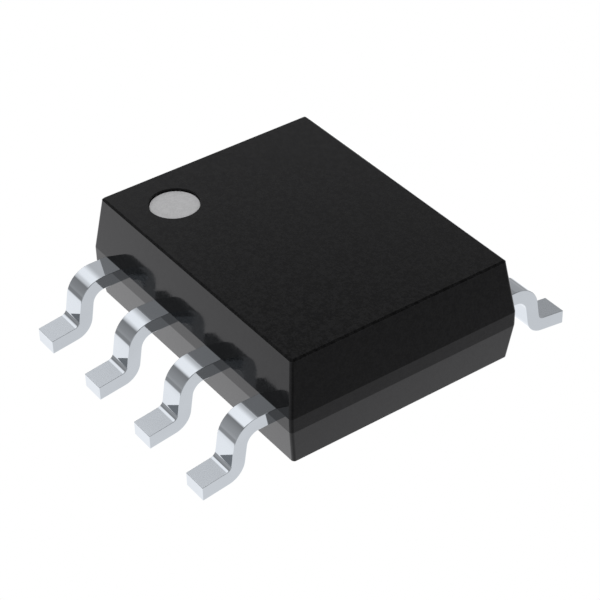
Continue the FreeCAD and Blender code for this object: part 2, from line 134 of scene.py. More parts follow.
# %% Node helpers
def add_node(tree, kind, **settings):
    """A node of one kind with its properties set."""
    node = tree.nodes.new(kind)
    for name, value in settings.items():
        setattr(node, name, value)
    return node


def feed(tree, socket, value):
    """Link a socket to an output, or set it to a plain value."""
    if isinstance(value, bpy.types.NodeSocket):
        tree.links.new(value, socket)
    else:
        socket.default_value = value


def calc(tree, operation, *values):
    """The output of a Math node."""
    node = add_node(tree, "ShaderNodeMath", operation=operation)
    for socket, value in zip(node.inputs, values):
        feed(tree, socket, value)
    return node.outputs[0]


def ease(tree, value, low, high, start=0.0, end=1.0):
    """Smooth step from start to end while value goes from low to high."""
    node = add_node(tree, "ShaderNodeMapRange", interpolation_type="SMOOTHSTEP")
    given = {"Value": value, "From Min": low, "From Max": high, "To Min": start, "To Max": end}
    for name, setting in given.items():
        feed(tree, node.inputs[name], setting)
    return node.outputs[0]


def axes(tree, vector):
    """The X, Y and Z parts of a vector."""
    node = add_node(tree, "ShaderNodeSeparateXYZ")
    feed(tree, node.inputs[0], vector)
    return node.outputs


node_helpers = (add_node, feed, calc, ease, axes)
print("node helpers:", ", ".join(helper.__name__ for helper in node_helpers))

# %% [markdown]
# Bright tin and glossy epoxy show little of their own colour. They show the room, so the light
# is built as a room for them to reflect: a tall white panel on the left, dim grey walls, and a
# white table glowing below. The room is a World shader that reads only the direction of a ray.
#
# Each part is a little arithmetic on that direction. Height is how far the ray points up, from
# -1 to 1, and depth is how far it points down. The bearing is the compass direction, counted
# from the left end of the chip.

# %% Directions in the room
world = bpy.data.worlds.new("room")
bpy.context.scene.world = world
world.use_nodes = True
room = world.node_tree
room.nodes.clear()
east, north, height = axes(room, add_node(room, "ShaderNodeTexCoord").outputs["Generated"])
depth = calc(room, "MULTIPLY", height, -1.0)
bearing = calc(room, "ARCTAN2", calc(room, "MULTIPLY", north, -1.0), calc(room, "MULTIPLY", east, -1.0))


def by_bearing(edge, start=0.0, end=1.0):
    """Smooth step from start to end between two bearings in degrees."""
    return ease(room, bearing, math.radians(edge[0]), math.radians(edge[1]), start, end)


def product(*values):
    """All values multiplied together."""
    result = values[0]
    for value in values[1:]:
        result = calc(room, "MULTIPLY", result, value)
    return result


print("room:", len(room.nodes), "nodes for the direction")

# %% [markdown]
# The panel lies between two bearings, with a dimmer strip along its far side and a dimmer
# lower part. The walls are a little darker under the panel, and fade away from the horizon.
# One more lamp hangs straight overhead: it lights the matt dot, and no mirror face of the chip
# shows it. Where these overlap, the brightest one is seen.

# %% Panel, walls and ceiling
PANEL_NEAR_EDGE, PANEL_FAR_EDGE, PANEL_STRIP_EDGE = (31, 40), (-25, 4), (-31.5, -29.5)
PANEL_RISE, PANEL_STRIP_LEVEL, PANEL_TILT = 0.44, 0.48, 0.13
PANEL_FOOT, PANEL_LOW_PART, PANEL_LOW_LEVEL = (0.36, 0.40), (0.49, 0.61), 0.7
WALL_LEVEL, WALL_DIP, WALL_DIP_START, WALL_DIP_END = 0.34, 0.13, (-32, -22), (36, 56)
HORIZON, HORIZON_LEVEL = (-0.03, 0.03), 0.78
LOW_WALL, LOW_WALL_LEVEL = (0.03, 0.2), 1.12
HIGH_WALL, HIGH_WALL_LEVEL = (0.57, 0.66), 0.31
CEILING, CEILING_LEVEL = (0.86, 0.96), 0.85

raised = calc(room, "ADD", height, calc(room, "MULTIPLY", bearing, -PANEL_TILT))
low_panel = ease(room, raised, *PANEL_LOW_PART, PANEL_LOW_LEVEL, 1.0)
foot = product(ease(room, raised, *PANEL_FOOT), low_panel)
strip_part = by_bearing(PANEL_STRIP_EDGE, 0.0, PANEL_STRIP_LEVEL)
across = calc(room, "ADD", strip_part, by_bearing(PANEL_FAR_EDGE, 0.0, PANEL_RISE))
panel = product(across, by_bearing(PANEL_NEAR_EDGE, 1.0, 0.0), foot)

shading = product(by_bearing(WALL_DIP_START), by_bearing(WALL_DIP_END, 1.0, 0.0), WALL_DIP)
low_part = product(ease(room, height, *HORIZON, HORIZON_LEVEL, 1.0),
                   ease(room, height, *LOW_WALL, LOW_WALL_LEVEL, 1.0))
high_part = ease(room, height, *HIGH_WALL, 1.0, HIGH_WALL_LEVEL)
wall = product(calc(room, "SUBTRACT", WALL_LEVEL, shading), low_part, high_part)
ceiling = ease(room, height, *CEILING, 0.0, CEILING_LEVEL)
above = calc(room, "MAXIMUM", calc(room, "MAXIMUM", panel, wall), ceiling)
print("panel", round(PANEL_STRIP_LEVEL + PANEL_RISE, 2), "walls", WALL_LEVEL, "ceiling", CEILING_LEVEL)

# %% [markdown]
# The table brightens as the ray points further down. It does so sooner on the near side, where
# it has one shallow dip, and later on the far side, where it stays dimmer.

# %% Table
NEAR_SIDE_START, NEAR_SIDE_END = (-90, -20), (100, 160)
DIP_START, DIP_END, DIP_DEPTH = (36, 62), (62, 84), 0.4
NEAR_GLOW, NEAR_LEVEL = (0.16, 0.26), 0.68
FAR_GLOW, FAR_LEVEL = (0.2, 0.7), 0.36
DEEP_GLOW, DEEP_LEVEL = (0.65, 0.8), 0.12

dip = calc(room, "ADD", by_bearing(DIP_START, 1.0, 1 - DIP_DEPTH), by_bearing(DIP_END, 0.0, DIP_DEPTH))
near_side = product(by_bearing(NEAR_SIDE_START), dip, by_bearing(NEAR_SIDE_END, 1.0, 0.0))
far_side = calc(room, "SUBTRACT", 1.0, near_side)
near_glow = ease(room, depth, *NEAR_GLOW, 0.0, NEAR_LEVEL)
far_glow = calc(room, "ADD", ease(room, depth, *FAR_GLOW, 0.0, FAR_LEVEL),
                ease(room, depth, *DEEP_GLOW, 0.0, DEEP_LEVEL))
glow = calc(room, "ADD", product(near_glow, near_side), product(far_glow, far_side))
print("table: near side", NEAR_LEVEL, "far side", FAR_LEVEL + DEEP_LEVEL)

# %% [markdown]
# The chip sees the room, and the camera sees plain white behind the chip, as in a catalogue
# picture. Light Path tells the two kinds of ray apart. The gain is the exposure.

# %% World shader
ROOM_GAIN = 1.6
ROOM_TINT, WHITE = (0.985, 0.985, 1.0, 1.0), (1, 1, 1, 1)

surroundings = add_node(room, "ShaderNodeBackground")
surroundings.inputs["Color"].default_value = ROOM_TINT
feed(room, surroundings.inputs["Strength"], product(calc(room, "ADD", above, glow), ROOM_GAIN))
backdrop = add_node(room, "ShaderNodeBackground")
backdrop.inputs["Color"].default_value = WHITE
choose = add_node(room, "ShaderNodeMixShader")
feed(room, choose.inputs[0], add_node(room, "ShaderNodeLightPath").outputs["Is Camera Ray"])
feed(room, choose.inputs[1], surroundings.outputs[0])
feed(room, choose.inputs[2], backdrop.outputs[0])
feed(room, add_node(room, "ShaderNodeOutputWorld").inputs[0], choose.outputs[0])
bpy.context.scene.view_settings.view_transform = "Standard"
brightest = ROOM_GAIN * (PANEL_STRIP_LEVEL + PANEL_RISE)
print("room:", len(room.nodes), "nodes, brightest", round(brightest, 3))

# %% [markdown]
# The chip stands on a sheet of white acrylic that is lit from below, so it throws no shadow.
# The sheet is one plane that only the camera sees. The light from below is already in the
# room, and seen from under the table the sheet is clear.

# %% Floor
FLOOR_SIZE, FLOOR_GAP = 400.0, 0.0005

signs = np.array([(-1, -1), (1, -1), (1, 1), (-1, 1)])
corners = np.column_stack([signs * FLOOR_SIZE / 2, np.full(len(signs), -FLOOR_GAP)])
floor_mesh = bpy.data.meshes.new("white_table")
floor_mesh.from_pydata(corners * MM, [], [(0, 1, 2, 3)])
floor = bpy.data.objects.new("white_table", floor_mesh)
bpy.context.collection.objects.link(floor)
for rays in ("diffuse", "glossy", "transmission", "shadow"):
    setattr(floor, f"visible_{rays}", False)
acrylic = bpy.data.materials.new("lit_acrylic")
acrylic.use_nodes = True
sheet = acrylic.node_tree
sheet.nodes.clear()
lit = add_node(sheet, "ShaderNodeEmission")
lit.inputs["Color"].default_value = WHITE
from_below = add_node(sheet, "ShaderNodeMixShader")
feed(sheet, from_below.inputs[0], add_node(sheet, "ShaderNodeNewGeometry").outputs["Backfacing"])
feed(sheet, from_below.inputs[1], lit.outputs[0])
feed(sheet, from_below.inputs[2], add_node(sheet, "ShaderNodeBsdfTransparent").outputs[0])
feed(sheet, add_node(sheet, "ShaderNodeOutputMaterial").inputs[0], from_below.outputs[0])
floor_mesh.materials.append(acrylic)
print("floor:", FLOOR_SIZE, "mm square")

# %% [markdown]
# Two effects turn up in almost every finish here. Grain is the fine speckle that filler
# particles, plating crystals or a sawn surface leave, and clouds are the slow drift in tone
# across a surface that was moulded or plated in one go. Each is a node group that puts out a
# value, so that every material can use it at its own scale.

# %% Shared effects
COARSE_SHARE, COARSE_SCALE = 0.4, 0.37
FINE_DETAIL, SOFT_DETAIL = 3, 2
GRAIN_CONTRAST, CLOUD_CONTRAST = (0.38, 0.62), (0.3, 0.7)


def new_group(name, inputs, outputs):
    """An empty shader node group with named sockets; returns the tree and its two ends."""
    tree = bpy.data.node_groups.new(name, "ShaderNodeTree")
    for label, kind, value in inputs:
        socket = tree.interface.new_socket(label, in_out="INPUT", socket_type=kind)
        if value is not None:
            socket.default_value = value
    for label in outputs:
        tree.interface.new_socket(label, in_out="OUTPUT", socket_type="NodeSocketFloat")
    return tree, add_node(tree, "NodeGroupInput"), add_node(tree, "NodeGroupOutput")


def noise(tree, vector, scale, detail):
    """Noise from 0 to 1, with about as many patches a metre as the scale says."""
    node = add_node(tree, "ShaderNodeTexNoise")
    feed(tree, node.inputs["Vector"], vector)
    feed(tree, node.inputs["Scale"], scale)
    node.inputs["Detail"].default_value = detail
    return node.outputs[0]


def make_grain():
    """Speckle from two sizes of noise: Height for bump, Speck from 0 to 1 for colour."""
    sockets = [("Vector", "NodeSocketVector", None), ("Size", "NodeSocketFloat", 0.02)]
    tree, given, made = new_group("grain", sockets, ["Height", "Speck"])
    vector, scale = given.outputs["Vector"], calc(tree, "DIVIDE", 1 / MM, given.outputs["Size"])
    fine = noise(tree, vector, scale, FINE_DETAIL)
    coarse = noise(tree, vector, calc(tree, "MULTIPLY", scale, COARSE_SCALE), SOFT_DETAIL)
    height = calc(tree, "ADD", calc(tree, "MULTIPLY", fine, 1 - COARSE_SHARE),
                  calc(tree, "MULTIPLY", coarse, COARSE_SHARE))
    feed(tree, made.inputs["Height"], height)
    feed(tree, made.inputs["Speck"], ease(tree, height, *GRAIN_CONTRAST))
    return tree


def make_clouds():
    """Slow drift from 0 to 1, with patches about Size millimetres across."""
    sockets = [("Vector", "NodeSocketVector", None), ("Size", "NodeSocketFloat", 1.0)]
    tree, given, made = new_group("clouds", sockets, ["Drift"])
    vector, scale = given.outputs["Vector"], calc(tree, "DIVIDE", 1 / MM, given.outputs["Size"])
    patches = noise(tree, vector, scale, SOFT_DETAIL)
    feed(tree, made.inputs["Drift"], ease(tree, patches, *CLOUD_CONTRAST))
    return tree


GRAIN, CLOUDS = make_grain(), make_clouds()
print("groups:", GRAIN.name, CLOUDS.name)

# %% [markdown]
# Each finish below is one Principled shader. What changes over the surface is fed to it through
# a few more helpers: a group in its place, a mix of two colours or of two values, a value that
# the specks raise, and a bump so shallow that only the gloss shows it.

# %% Material helpers
def new_finish(name):
    """A material with one Principled shader, and the object's own coordinates."""
    material = bpy.data.materials.new(name)
    material.use_nodes = True
    tree = material.node_tree
    shader = tree.nodes["Principled BSDF"]
    where = add_node(tree, "ShaderNodeTexCoord").outputs["Object"]
    return material, tree, shader, where


def effect(tree, group, where, **values):
    """One placed group, with its inputs set."""
    node = add_node(tree, "ShaderNodeGroup", node_tree=group)
    feed(tree, node.inputs["Vector"], where)
    for name, value in values.items():
        feed(tree, node.inputs[name], value)
    return node.outputs


def blend_colour(tree, amount, first, second):
    """Mix of two colours by amount."""
    node = add_node(tree, "ShaderNodeMix", data_type="RGBA")
    feed(tree, node.inputs["Factor"], amount)
    feed(tree, node.inputs["A"], first)
    feed(tree, node.inputs["B"], second)
    return node.outputs["Result"]


def blend_value(tree, amount, first, second):
    """Mix of two values by amount: the first plus a share of the difference."""
    difference = calc(tree, "SUBTRACT", second, first)
    return calc(tree, "ADD", first, calc(tree, "MULTIPLY", amount, difference))


def raised_by(tree, speck, least, spread):
    """A value that starts at the least one and that the specks raise by up to the spread."""
    return calc(tree, "ADD", least, calc(tree, "MULTIPLY", speck, spread))


def press_in(tree, shader, height, depth):
    """A bump of the given depth in millimetres on the shader's normal."""
    bump = add_node(tree, "ShaderNodeBump")
    feed(tree, bump.inputs["Height"], height)
    bump.inputs["Distance"].default_value = depth * MM
    feed(tree, shader.inputs["Normal"], bump.outputs[0])


def grey(value, warmth=0.0):
    """A neutral colour, a little warm or cool."""
    return (value * (1 + warmth), value, value * (1 - warmth), 1.0)


material_helpers = (new_finish, effect, blend_colour, blend_value, raised_by, press_in, grey)
print("material helpers:", ", ".join(helper.__name__ for helper in material_helpers))

# %% [markdown]
# The moulding compound is epoxy with about eighty percent silica filler and some carbon black.
# Against polished steel it comes out glossy, which the side walls show. The mould's top face is
# spark eroded, so the top is satin. Two materials could say that, but one body of compound is
# one material here: almost black, with a mask by height that turns the gloss down on the top
# face. The filler gives the fine speckle.
#
# The filler lies under a skin of resin, so the gloss is weak seen straight on and grows towards
# a grazing view. Layer Weight's facing value raises the specular level that way.

# %% Moulding compound
FILLER_SIZE, FLOW_SIZE = 0.03, 1.6
WALL_GREYS, TOP_GREYS = (0.0005, 0.0055), (0.0045, 0.0125)
FLOW_GREY, FLOW_SHARE = 0.0035, 0.3
WALL_ROUGHNESS, TOP_ROUGHNESS = (0.05, 0.05), (0.16, 0.08)
SATIN_START, SATIN_FULL = TOP - 0.034, TOP - 0.026
EPOXY_BUMP = 0.0002
GLOSS_GROWTH, GLOSS_START, LEAST_GLOSS = 0.42, -0.0165, 0.115
GLOSS_TINT = (0.975, 0.965, 1.0, 1.0)


def make_moulding_compound():
    """Near-black epoxy: glossy walls, satin top, filler speckle."""
    material, tree, shader, where = new_finish("black_epoxy")
    on_top = ease(tree, axes(tree, where)["Z"], SATIN_START * MM, SATIN_FULL * MM)
    grain = effect(tree, GRAIN, where, Size=FILLER_SIZE)
    flow = calc(tree, "MULTIPLY", effect(tree, CLOUDS, where, Size=FLOW_SIZE)["Drift"], FLOW_SHARE)
    filler = blend_colour(tree, grain["Speck"], *map(grey, WALL_GREYS))
    glossy = blend_colour(tree, flow, filler, grey(FLOW_GREY))
    satin = blend_colour(tree, grain["Speck"], *map(grey, TOP_GREYS))
    feed(tree, shader.inputs["Base Color"], blend_colour(tree, on_top, glossy, satin))
    walls = raised_by(tree, grain["Speck"], *WALL_ROUGHNESS)
    top = raised_by(tree, grain["Speck"], *TOP_ROUGHNESS)
    feed(tree, shader.inputs["Roughness"], blend_value(tree, on_top, walls, top))
    press_in(tree, shader, grain["Height"], EPOXY_BUMP)
    facing = add_node(tree, "ShaderNodeLayerWeight").outputs["Facing"]
    gloss = calc(tree, "MULTIPLY_ADD", facing, GLOSS_GROWTH, GLOSS_START)
    feed(tree, shader.inputs["Specular IOR Level"], calc(tree, "MAXIMUM", gloss, LEAST_GLOSS))
    shader.inputs["Specular Tint"].default_value = GLOSS_TINT
    return material


black_epoxy = make_moulding_compound()
print("finish:", black_epoxy.name, "with", len(black_epoxy.node_tree.nodes), "nodes")

# %% [markdown]
# A lead is one strip, stamped flat and then bent. Seen from the side, its middle line leaves
# the moulding level, turns down over the upper bend, runs down the leaning leg, turns out again
# over the lower bend, and falls slightly to the toe, which is cut upright. Inside the moulding
# the strip widens into a finger with a hole, and that part is made too, because it is there.
#
# The side line fixes both bend centres. They come first, because the finish needs them too.

# %% Side line of a lead
UPPER_BEND, LOWER_BEND = 0.205, 0.10
LEG_LEAN, FOOT_FALL = math.radians(9.5), math.radians(8)
SHOULDER = 0.27

BEND_START = WIDTH / 2 + SHOULDER
upper_centre = np.array([BEND_START, STRIP_TOP - STRIP - UPPER_BEND])


def outward(angle):
    """Unit vector in the side view, angle measured from straight up towards the toe."""
    return np.stack([np.sin(angle), np.cos(angle)], axis=-1)


def lower_bend_centre():
    """Where a line beside the leg and a line over the foot cross, each a bend radius away.

    The leg's outer face is the outer radius from the upper centre. The sole ends on the board
    at the toe, so the foot's top is the strip's thickness above that line.
    """
    leg_side, foot_side = outward(math.pi / 2 - LEG_LEAN), outward(FOOT_FALL)
    leg_distance = upper_centre @ leg_side + UPPER_BEND + STRIP + LOWER_BEND
    foot_distance = np.array([TOE, 0]) @ foot_side + STRIP + LOWER_BEND
    return np.linalg.solve(np.array([leg_side, foot_side]), [leg_distance, foot_distance])


lower_centre = lower_bend_centre()
print("bend centres:", np.round(upper_centre, 4), np.round(lower_centre, 4))

# %% [markdown]
# The leads are plated with matt or bright tin. Here it is bright: the bends and the leg work
# like mirrors, and the top of the foot, which the forming tool presses flat, is satin. Two
# planes of the side line say where that is: one upright at the start of the foot, and one
# through the foot's top. A second material on those faces would stop at a hard line, and a mask
# fades. Plating grows in crystals of a few micrometres, so a weak grain breaks the gloss up.

# %% Tin plate
TIN = (0.535, 0.566, 0.597, 1.0)
TIN_DRIFT, TIN_DRIFT_SIZE = 0.97, 0.5
CRYSTAL_SIZE, TIN_BUMP, BRIGHT_BUMP_SHARE = 0.014, 0.0002, 0.2
BRIGHT_ROUGHNESS, PRESSED_ROUGHNESS = (0.03, 0.03), (0.2, 0.08)
FOOT_START = lower_centre[0] - LOWER_BEND * math.sin(FOOT_FALL)
FOOT_LEVEL = TOE * math.sin(FOOT_FALL) + STRIP
FOOT_EDGE = 0.004
FOOT_FADE = (0.006, 0.002)


def make_tin_plate():
    """Bright tin, satin on the foot's top: beyond the lower bend, and at the top plane's level."""
    material, tree, shader, where = new_finish("bright_tin")
    place = axes(tree, where)
    out = calc(tree, "ABSOLUTE", place["Y"])
    on_foot = ease(tree, out, (FOOT_START - FOOT_EDGE) * MM, (FOOT_START + FOOT_EDGE) * MM)
    level = calc(tree, "ADD", calc(tree, "MULTIPLY", out, math.sin(FOOT_FALL)),
                 calc(tree, "MULTIPLY", place["Z"], math.cos(FOOT_FALL)))
    on_level = ease(tree, level, *[(FOOT_LEVEL - below) * MM for below in FOOT_FADE])
    satin = calc(tree, "MULTIPLY", on_foot, on_level)
    grain = effect(tree, GRAIN, where, Size=CRYSTAL_SIZE)
    drift = effect(tree, CLOUDS, where, Size=TIN_DRIFT_SIZE)["Drift"]
    dull = tuple(TIN_DRIFT * value for value in TIN[:3]) + (1.0,)
    feed(tree, shader.inputs["Base Color"], blend_colour(tree, drift, TIN, dull))
    bright = raised_by(tree, grain["Speck"], *BRIGHT_ROUGHNESS)
    pressed = raised_by(tree, grain["Speck"], *PRESSED_ROUGHNESS)
    feed(tree, shader.inputs["Roughness"], blend_value(tree, satin, bright, pressed))
    weight = calc(tree, "ADD", BRIGHT_BUMP_SHARE, satin)
    press_in(tree, shader, calc(tree, "MULTIPLY", grain["Height"], weight), TIN_BUMP)
    shader.inputs["Metallic"].default_value = 1.0
    return material


bright_tin = make_tin_plate()
print("finish:", bright_tin.name, "satin beyond", round(FOOT_START, 3))

# %% [markdown]
# The pin-1 dot is a disc of pale grey ink on the floor of its recess. Ink dries matt, with a
# soft edge and faint unevenness, so it gets a rough surface with a low grain.

# %% Mark ink
INK_GRAIN, INK_DRIFT, INK_BUMP = 0.025, 0.3, 0.0004
INK_GREYS, SPECK_GREY, SPECK_SHARE = (0.72, 0.75), 0.6, 0.6
INK_ROUGHNESS = (0.5, 0.15)


def make_mark_ink():
    """Pale grey ink, matt and a little uneven."""
    material, tree, shader, where = new_finish("grey_ink")
    grain = effect(tree, GRAIN, where, Size=INK_GRAIN)
    drift = effect(tree, CLOUDS, where, Size=INK_DRIFT)["Drift"]
    ink = blend_colour(tree, drift, *map(grey, INK_GREYS))
    specks = calc(tree, "MULTIPLY", grain["Speck"], SPECK_SHARE)
    feed(tree, shader.inputs["Base Color"], blend_colour(tree, specks, ink, grey(SPECK_GREY)))
    feed(tree, shader.inputs["Roughness"], raised_by(tree, grain["Speck"], *INK_ROUGHNESS))
    press_in(tree, shader, grain["Height"], INK_BUMP)
    return material


grey_ink = make_mark_ink()
print("finish:", grey_ink.name, "with", len(grey_ink.node_tree.nodes), "nodes")

# %% [markdown]
# Every new piece starts as arrays of points. A stack of rings, each with the same number of
# points, becomes a closed surface when the neighbours are joined by quads and the two ends are
# capped. Points that fall together, as at a sharp end, are welded, and the faces are turned
# outwards.

# %% From points to a closed mesh
WELD = 2e-8


def ring_faces(rings, points):
    """Quads between each ring and the next, over an index grid that closes on itself."""
    index = np.arange(rings * points).reshape(rings, points)
    after = np.roll(index, -1, axis=1)
    return np.stack([index[:-1], after[:-1], after[1:], index[1:]], axis=-1)


def new_mesh(name, points, faces):
    """A welded mesh in metres with its faces turned outwards, from points in millimetres."""
    mesh = bpy.data.meshes.new(name)
    mesh.from_pydata(np.asarray(points) * MM, [], faces)
    work = bmesh.new()
    work.from_mesh(mesh)
    bmesh.ops.remove_doubles(work, verts=work.verts, dist=WELD)
    bmesh.ops.recalc_face_normals(work, faces=work.faces)
    work.to_mesh(mesh)
    work.free()
    return mesh


def capped(name, rings):
    """A mesh from a stack of rings with a flat face at each end."""
    count, points = rings.shape[:2]
    faces = ring_faces(count, points).reshape(-1, 4).tolist()
    faces.append(list(range(points))[::-1])
    faces.append(list(range((count - 1) * points, count * points)))
    return new_mesh(name, rings.reshape(-1, 3), faces)


print("three rings of four points are joined by", ring_faces(3, 4).reshape(-1, 4).shape[0], "quads")

# %% [markdown]
# A mirror finish shows every fault in the shading, so the normals are worked out here. Blender
# would let a small rounded edge bend the shading of the large flat face beside it. Each corner
# of a face takes the average of the faces round it, weighted by the square of their area, so
# the large face wins and stays flat, and equal steps of a bend share their angle evenly. Edges
# sharper than a limit stay crisp.

# %% From a mesh to a piece
SMOOTH_LIMIT = math.radians(35)


def read(items, name, kind, width=1):
    """One property of all items as an array, with a row for each item if it has several parts."""
    values = np.empty(len(items) * width, kind)
    items.foreach_get(name, values)
    return values.reshape(-1, width) if width > 1 else values


def level_normals(mesh):
    """Set each corner's normal to the area-squared average of the faces that pass smoothly by it."""
    corner = read(mesh.loops, "vertex_index", np.int32)
    normal = read(mesh.polygons, "normal", np.float32, 3).astype(float)
    area = read(mesh.polygons, "area", np.float32) / MM ** 2
    face = np.repeat(np.arange(len(area)), read(mesh.polygons, "loop_total", np.int32))
    order = np.argsort(corner, kind="stable")
    first = np.searchsorted(corner[order], corner)
    count = np.bincount(corner)[corner]
    own = np.repeat(np.arange(len(corner)), count)
    step = np.arange(len(own)) - np.repeat(np.cumsum(count) - count, count)
    other = order[first[own] + step]
    smooth = (normal[face[own]] * normal[face[other]]).sum(axis=1) > math.cos(SMOOTH_LIMIT)
    share = (smooth * area[face[other]] ** 2)[:, None] * normal[face[other]]
    total = np.stack([np.bincount(own, share[:, axis], len(corner)) for axis in range(3)], axis=-1)
    mesh.normals_split_custom_set(total / np.linalg.norm(total, axis=1, keepdims=True))


def new_piece(name, mesh, material, slot, *nodes):
    """A shown piece that stands for its nodes, rides on the root body and takes the given finish. The
    slot is not used.
    """
    mesh.polygons.foreach_set("use_smooth", np.ones(len(mesh.polygons), bool))
    mesh.set_sharp_from_angle(angle=SMOOTH_LIMIT)
    level_normals(mesh)
    mesh.materials.clear()
    mesh.materials.append(material)
    piece = bpy.data.objects.new(name, mesh)
    bpy.context.collection.objects.link(piece)
    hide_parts(*nodes)
    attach(piece, "root")
    return piece


print("edges sharper than", round(math.degrees(SMOOTH_LIMIT)), "degrees stay crisp")

# %% [markdown]
# The strip is a rounded rectangle carried along the side line: each station has a middle, a
# direction for its thickness, and a left and right edge. The ends are rounded by letting the
# section shrink as a quarter circle. The bends use small equal turns so that they mirror
# smoothly.
#
# The stations are gathered from the finger's tip to the toe. Level ones inside the moulding
# only need a place along Y. The upper bend turns about a centre under the strip and the lower
# bend about one over it, which is why the middle line is added on one side and taken away on
# the other.

# %% Stations along a lead
STRIP_EDGE = 0.008
BEND_STEPS = 30
END_STEPS = 4
NECK_LENGTH, FLARE_LENGTH = 0.25, 0.15
INNER_TIP, OUTER_TIP, OUTER_SIDESTEP = 1.07, 0.75, 0.285
FINGER_WIDTH = 0.50
HOLE_HALF_SPAN = 0.12
HOLE_STEPS = 7

NECK_END, FLARE_END = WIDTH / 2 - NECK_LENGTH, WIDTH / 2 - (NECK_LENGTH + FLARE_LENGTH)


def end_rounding(steps):
    """How far each end station lies from the end, and the rounding left there: a quarter circle."""
    turn = np.linspace(math.pi / 2, 0, steps + 1)
    return STRIP_EDGE * (1 - np.sin(turn)), STRIP_EDGE * np.cos(turn)


def lead_stations(tip):
    """Middles, thickness vectors and roundings of all stations, from the finger's tip to the toe."""
    inset, rounding = end_rounding(END_STEPS)
    hole_rows = np.linspace(FLARE_END - HOLE_HALF_SPAN, FLARE_END + HOLE_HALF_SPAN, HOLE_STEPS)
    level = np.unique(np.concatenate([tip + inset, hole_rows, [NECK_END, WIDTH / 2]]))
    level_middles = np.stack([level, np.full(len(level), PARTING)], axis=-1)
    level_up = np.tile([0.0, 1.0], (len(level), 1))
    upper_turn = np.linspace(0, math.pi / 2 - LEG_LEAN, BEND_STEPS)
    upper = upper_centre + (UPPER_BEND + STRIP / 2) * outward(upper_turn)
    lower_turn = np.linspace(math.pi / 2 - LEG_LEAN, FOOT_FALL, BEND_STEPS)
    lower = lower_centre - (LOWER_BEND + STRIP / 2) * outward(lower_turn)
    toe_y = TOE - inset[::-1]
    half_rise = STRIP / 2 / math.cos(FOOT_FALL)
    toe_z = half_rise + (TOE - toe_y) * math.tan(FOOT_FALL)
    toe = np.stack([toe_y, toe_z], axis=-1)
    toe_up = np.tile([0.0, 1 / math.cos(FOOT_FALL)], (len(toe), 1))
    middles = np.concatenate([level_middles, upper, lower, toe])
    thickness = np.concatenate([level_up, outward(upper_turn), outward(lower_turn), toe_up])
    roundings = np.full(len(middles), STRIP_EDGE)
    roundings[:len(inset)] = rounding
    roundings[-len(inset):] = rounding[::-1]
    return middles, thickness, roundings


def strip_edges(along, sidestep):
    """Middle and half width of the strip: plain outside, widening and stepping aside inside."""
    centre = np.interp(along, [FLARE_END, NECK_END], [sidestep, 0.0])
    half = np.interp(along, [FLARE_END, NECK_END], [FINGER_WIDTH / 2, STRIP_WIDTH / 2])
    return centre, half


print("stations:", len(lead_stations(OUTER_TIP)[0]), "on an outer lead")

# %% [markdown]
# The section is a loop of points: nine across the top, the right side with its two rounded
# corners, nine back under the bottom, and the left side. The many points across are there for
# the hole in the finger.

# %% Section of the strip
ACROSS = 9
CORNER_STEPS = 4


def section_loop():
    """Signed shares of the half width and half thickness, and the direction of the rounding.

    The loop goes along the top from left to right, round the right side, back along the bottom
    and round the left side. Each corner turns through a quarter circle.
    """
    share = np.linspace(-1, 1, ACROSS)
    corner = np.linspace(0, math.pi / 2, CORNER_STEPS + 1)
    stretches = [
        (share, 1.0, np.full(ACROSS, math.pi / 2)),
        (1.0, 1.0, math.pi / 2 - corner[1:]),
        (1.0, -1.0, -corner[:-1]),
        (share[::-1], -1.0, np.full(ACROSS, -math.pi / 2)),
        (-1.0, -1.0, -math.pi / 2 - corner[1:]),
        (-1.0, 1.0, -math.pi - corner[:-1]),
    ]
    columns = zip(*(np.broadcast_arrays(*stretch) for stretch in stretches))
    return [np.concatenate(column) for column in columns]


def lead_points(tip, sidestep):
    """Points of the strip on the +Y side about its own middle, and each station's place along Y.

    The points come as stations by section points. Across the strip a point is the middle, plus
    its share of the half width less the rounding, plus the rounding times a cosine. Through it
    the same holds with the thickness and a sine.
    """
    middles, thickness, roundings = lead_stations(tip)
    centre, half = strip_edges(middles[:, 0], sidestep)
    across, level, turn = section_loop()
    reach = across * (half[:, None] - STRIP_EDGE)
    width = centre[:, None] + reach + roundings[:, None] * np.cos(turn)
    depth = level * (STRIP / 2 - STRIP_EDGE) + roundings[:, None] * np.sin(turn)
    place = middles[:, None, :] + thickness[:, None, :] * depth[:, :, None]
    return np.concatenate([width[:, :, None], place], axis=-1), middles[:, 0]


print("section:", len(section_loop()[0]), "points")

# %% [markdown]
# The hole keys the finger into the moulding. It could be a Boolean, but the grid of points is
# already there: the hole takes the place of a block of quads in the finger. A tunnel runs from
# the block's outline on the top to a circle, down, and out to the same outline below. In an
# outer lead the hole moves aside with the finger, by most of its step.
#
# A point of the section's top and the one under it have column numbers that add up to OPPOSITE.

# %% Hole in the finger
HOLE_DIAMETER = 0.16
HOLE_MARGIN = 1
HOLE_SIDESTEP_SHARE = 0.8
OPPOSITE = 2 * (ACROSS + CORNER_STEPS) - 1


def block_outline(rows, columns):
    """Row and column of each point round the edge of a block of the grid, in order."""
    grid = np.stack(np.meshgrid(rows, columns, indexing="ij"), axis=-1)
    return np.concatenate([grid[0, :-1], grid[:-1, -1], grid[-1, :0:-1], grid[:0:-1, 0]])


